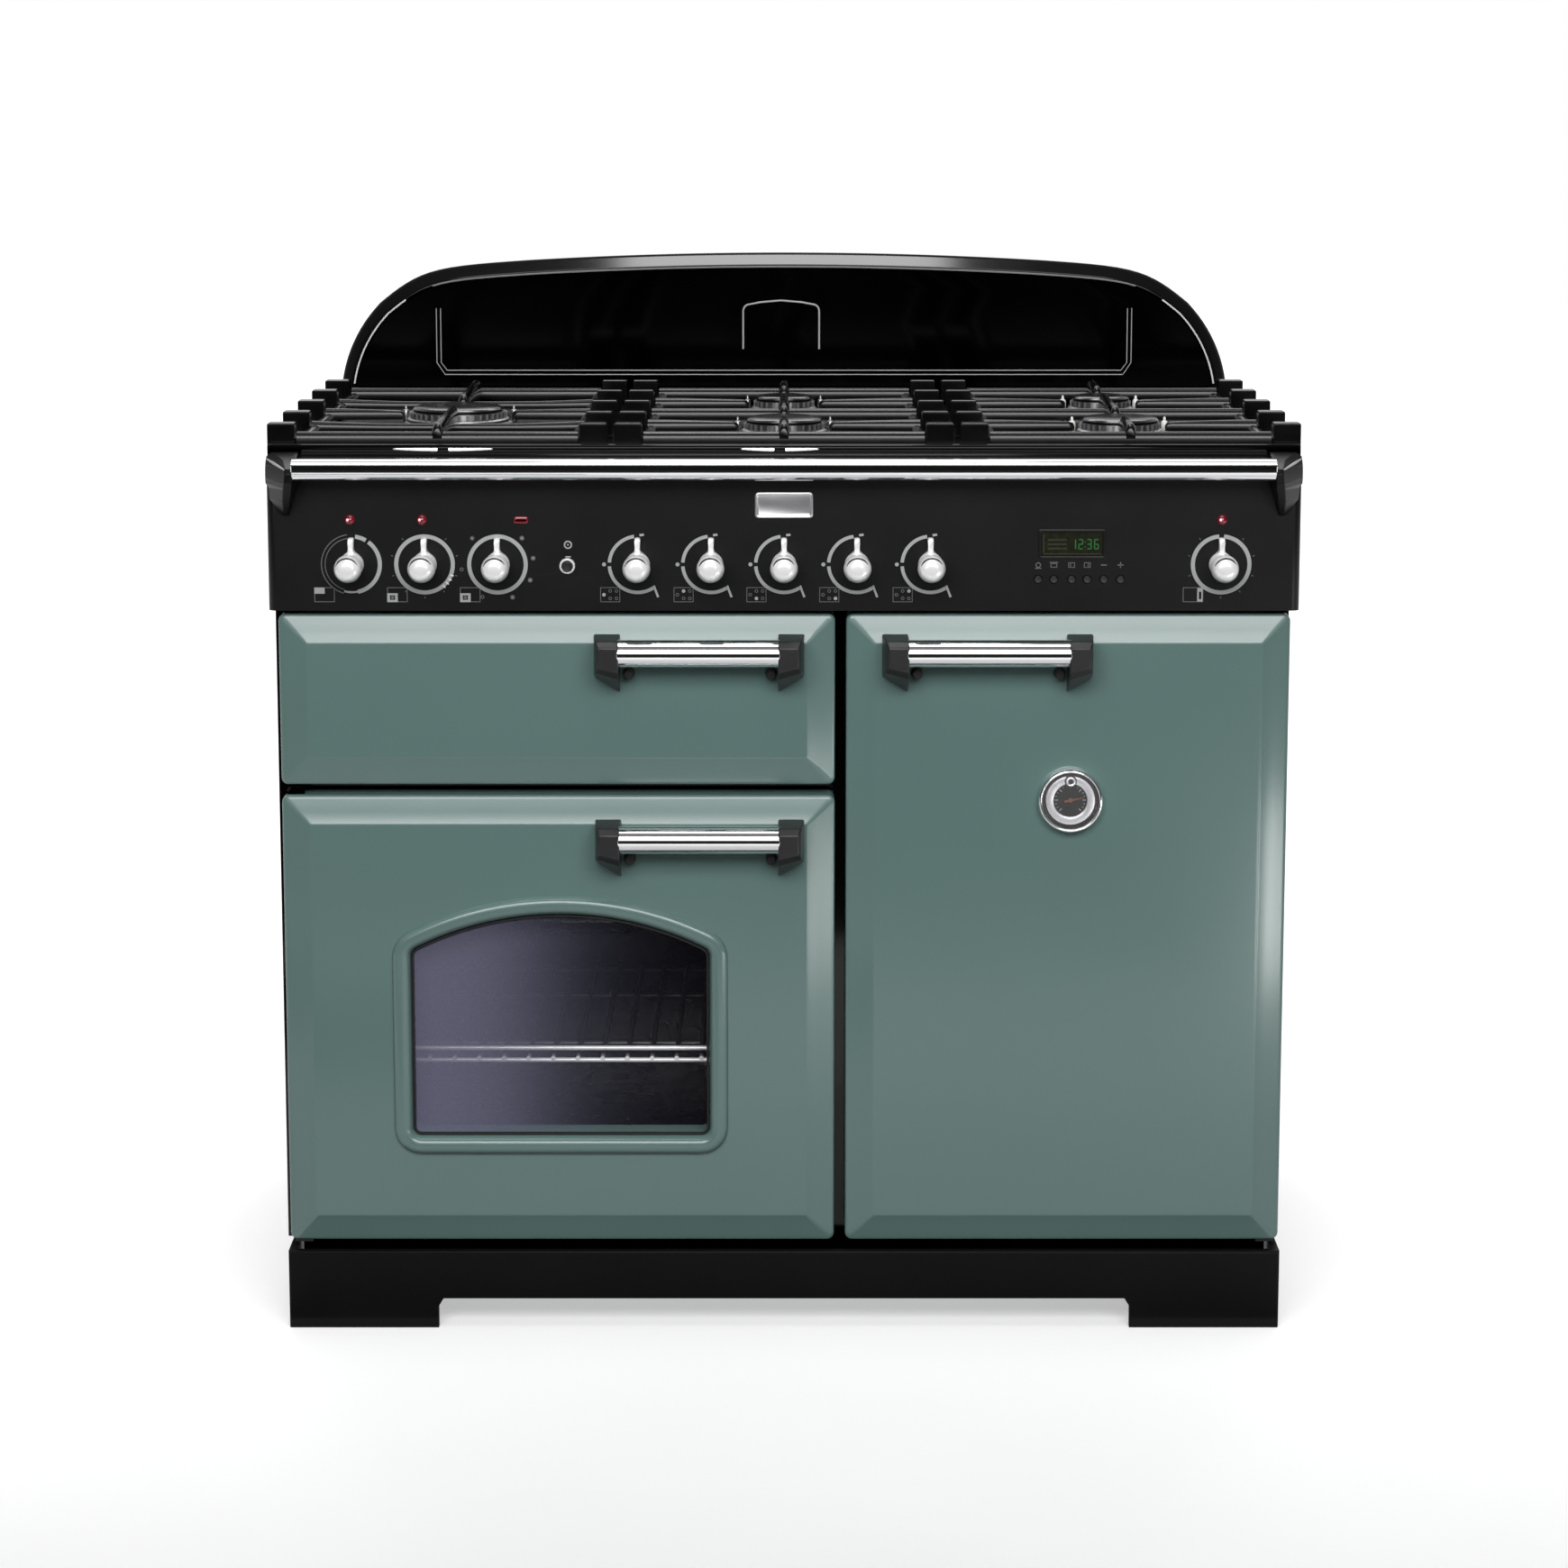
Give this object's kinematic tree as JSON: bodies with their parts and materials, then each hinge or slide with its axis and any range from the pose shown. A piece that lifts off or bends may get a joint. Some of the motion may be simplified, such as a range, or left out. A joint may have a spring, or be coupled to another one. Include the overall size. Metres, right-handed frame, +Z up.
{
  "type": "range cooker",
  "caption": "Free-standing range cooker with side-hinged grill and oven doors, an arched oven window, a gas hob with lift-off pan supports, a front rail and a splashback.",
  "frame": {"origin": "on the floor, under the middle of the bounding box", "axes": "+Z up, -Y towards the user at the front, +X to the user's right"},
  "size_m": [0.992, 0.652, 1.0294],
  "materials": {
    "green_enamel": "gloss enamel, sage green",
    "black_enamel": "gloss enamel, black",
    "charcoal_panel": "satin, charcoal black",
    "plinth_black": "satin, black",
    "bracket_anthracite": "satin, anthracite",
    "chrome": "polished",
    "cast_iron": "black matt",
    "burner_alloy": "satin",
    "oven_enamel": "speckled dark enamel",
    "galvanised": "zinc coated sheet",
    "steel": "plain",
    "wire": "plated wire",
    "seal": "matt",
    "glass": "tinted oven glass",
    "red_lens": "clear red",
    "black_plastic": "moulded",
    "needle": "orange",
    "brass": "plain"
  },
  "bodies": {
    "cabinet": {"back_panel": "galvanised", "base_tray": "galvanised", "burner_caps": "black_enamel", "burner_heads": "burner_alloy", "control_panel": "charcoal_panel", "door_hinges": "steel", "electrical_units": "black_plastic", "front_frame": "black_enamel", "gas_rail_and_taps": "brass", "grill_chamber": "oven_enamel", "grill_pan": "oven_enamel", "heating_elements": "steel", "hob_tray": "black_enamel", "indicator_lenses": "red_lens", "left_oven_liner": "oven_enamel", "levelling_feet": "black_plastic", "oven_racks": "wire", "oven_seals": "seal", "plinth": "plinth_black", "rail_brackets": "bracket_anthracite", "rail_tube": "chrome", "right_oven_liner": "oven_enamel", "side_panels": "black_enamel", "splashback": "black_enamel"},
    "grill_door": {"grill_door_liner": "oven_enamel", "grill_door_panel": "green_enamel", "grill_handle_bar": "chrome", "grill_handle_ends": "bracket_anthracite"},
    "left_oven_door": {"left_oven_door_glass": "glass", "left_oven_door_liner": "oven_enamel", "left_oven_door_panel": "green_enamel", "left_oven_handle_bar": "chrome", "left_oven_handle_ends": "bracket_anthracite"},
    "right_oven_door": {"right_oven_door_liner": "oven_enamel", "right_oven_door_panel": "green_enamel", "right_oven_handle_bar": "chrome", "right_oven_handle_ends": "bracket_anthracite", "thermometer_case": "chrome"},
    "centre_front_burner_knob": {"centre_front_burner_knob": "chrome"},
    "centre_pan_support": {"centre_pan_support": "cast_iron"},
    "centre_rear_burner_knob": {"centre_rear_burner_knob": "chrome"},
    "grill_knob": {"grill_knob": "chrome"},
    "left_burner_knob": {"left_burner_knob": "chrome"},
    "left_fan": {"left_fan": "steel"},
    "left_oven_function_knob": {"left_oven_function_knob": "chrome"},
    "left_oven_knob": {"left_oven_knob": "chrome"},
    "left_pan_support": {"left_pan_support": "cast_iron"},
    "light_button": {"light_button": "chrome"},
    "right_fan": {"right_fan": "steel"},
    "right_front_burner_knob": {"right_front_burner_knob": "chrome"},
    "right_oven_knob": {"right_oven_knob": "chrome"},
    "right_pan_support": {"right_pan_support": "cast_iron"},
    "right_rear_burner_knob": {"right_rear_burner_knob": "chrome"},
    "thermometer_needle": {"thermometer_needle": "needle"},
    "timer_key_1": {"timer_key_1": "black_plastic"},
    "timer_key_2": {"timer_key_2": "black_plastic"},
    "timer_key_3": {"timer_key_3": "black_plastic"},
    "timer_key_4": {"timer_key_4": "black_plastic"},
    "timer_key_5": {"timer_key_5": "black_plastic"},
    "timer_key_6": {"timer_key_6": "black_plastic"}
  },
  "joints": [
    {"name": "door_grill", "type": "hinge", "parent": "cabinet", "child": "grill_door", "pos_m": [-0.475, -0.262, 0.6314], "axis": [0, 0, -1], "range_deg": [0, 110]},
    {"name": "door_left_oven", "type": "hinge", "parent": "cabinet", "child": "left_oven_door", "pos_m": [-0.475, -0.262, 0.31305], "axis": [0, 0, -1], "range_deg": [0, 110]},
    {"name": "door_right_oven", "type": "hinge", "parent": "cabinet", "child": "right_oven_door", "pos_m": [0.4758, -0.262, 0.40215], "axis": [0, 0, 1], "range_deg": [0, 110]},
    {"name": "grill_knob_turn", "type": "hinge", "parent": "cabinet", "child": "grill_knob", "pos_m": [-0.415, -0.3, 0.7646], "axis": [0, 1, 0], "range_deg": [0, 280]},
    {"name": "left_oven_knob_turn", "type": "hinge", "parent": "cabinet", "child": "left_oven_knob", "pos_m": [-0.345, -0.3, 0.7646], "axis": [0, 1, 0], "range_deg": [0, 280]},
    {"name": "left_oven_function_knob_turn", "type": "hinge", "parent": "cabinet", "child": "left_oven_function_knob", "pos_m": [-0.275, -0.3, 0.7646], "axis": [0, 1, 0], "range_deg": [0, 280]},
    {"name": "left_burner_knob_turn", "type": "hinge", "parent": "cabinet", "child": "left_burner_knob", "pos_m": [-0.1405, -0.3, 0.7646], "axis": [0, -1, 0], "range_deg": [0, 210]},
    {"name": "centre_rear_burner_knob_turn", "type": "hinge", "parent": "cabinet", "child": "centre_rear_burner_knob", "pos_m": [-0.07, -0.3, 0.7646], "axis": [0, -1, 0], "range_deg": [0, 210]},
    {"name": "centre_front_burner_knob_turn", "type": "hinge", "parent": "cabinet", "child": "centre_front_burner_knob", "pos_m": [0, -0.3, 0.7646], "axis": [0, -1, 0], "range_deg": [0, 210]},
    {"name": "right_front_burner_knob_turn", "type": "hinge", "parent": "cabinet", "child": "right_front_burner_knob", "pos_m": [0.07, -0.3, 0.7646], "axis": [0, -1, 0], "range_deg": [0, 210]},
    {"name": "right_rear_burner_knob_turn", "type": "hinge", "parent": "cabinet", "child": "right_rear_burner_knob", "pos_m": [0.1405, -0.3, 0.7646], "axis": [0, -1, 0], "range_deg": [0, 210]},
    {"name": "right_oven_knob_turn", "type": "hinge", "parent": "cabinet", "child": "right_oven_knob", "pos_m": [0.4195, -0.3, 0.7646], "axis": [0, 1, 0], "range_deg": [0, 280]},
    {"name": "light_button_press", "type": "slide", "parent": "cabinet", "child": "light_button", "axis": [0, 1, 0], "range_m": [0, 0.003], "stiffness_N_per_m": 300},
    {"name": "timer_key_1_press", "type": "slide", "parent": "cabinet", "child": "timer_key_1", "axis": [0, 1, 0], "range_m": [0, 0.001], "stiffness_N_per_m": 400},
    {"name": "timer_key_2_press", "type": "slide", "parent": "cabinet", "child": "timer_key_2", "axis": [0, 1, 0], "range_m": [0, 0.001], "stiffness_N_per_m": 400},
    {"name": "timer_key_3_press", "type": "slide", "parent": "cabinet", "child": "timer_key_3", "axis": [0, 1, 0], "range_m": [0, 0.001], "stiffness_N_per_m": 400},
    {"name": "timer_key_4_press", "type": "slide", "parent": "cabinet", "child": "timer_key_4", "axis": [0, 1, 0], "range_m": [0, 0.001], "stiffness_N_per_m": 400},
    {"name": "timer_key_5_press", "type": "slide", "parent": "cabinet", "child": "timer_key_5", "axis": [0, 1, 0], "range_m": [0, 0.001], "stiffness_N_per_m": 400},
    {"name": "timer_key_6_press", "type": "slide", "parent": "cabinet", "child": "timer_key_6", "axis": [0, 1, 0], "range_m": [0, 0.001], "stiffness_N_per_m": 400},
    {"name": "left_fan_spin", "type": "hinge", "parent": "cabinet", "child": "left_fan", "pos_m": [-0.219, 0.2, 0.33], "axis": [0, 1, 0], "continuous": true},
    {"name": "right_fan_spin", "type": "hinge", "parent": "cabinet", "child": "right_fan", "pos_m": [0.274, 0.2, 0.405], "axis": [0, 1, 0], "continuous": true},
    {"name": "left_pan_support_lift", "type": "slide", "parent": "cabinet", "child": "left_pan_support", "axis": [0, 0, 1], "range_m": [0, 0.08]},
    {"name": "centre_pan_support_lift", "type": "slide", "parent": "cabinet", "child": "centre_pan_support", "axis": [0, 0, 1], "range_m": [0, 0.08]},
    {"name": "right_pan_support_lift", "type": "slide", "parent": "cabinet", "child": "right_pan_support", "axis": [0, 0, 1], "range_m": [0, 0.08]},
    {"name": "thermometer_turn", "type": "hinge", "parent": "right_oven_door", "child": "thermometer_needle", "pos_m": [0.277, -0.289, 0.535], "axis": [0, 1, 0], "range_deg": [-213, 57], "stiffness_Nm_per_rad": 0.002}
  ]
}
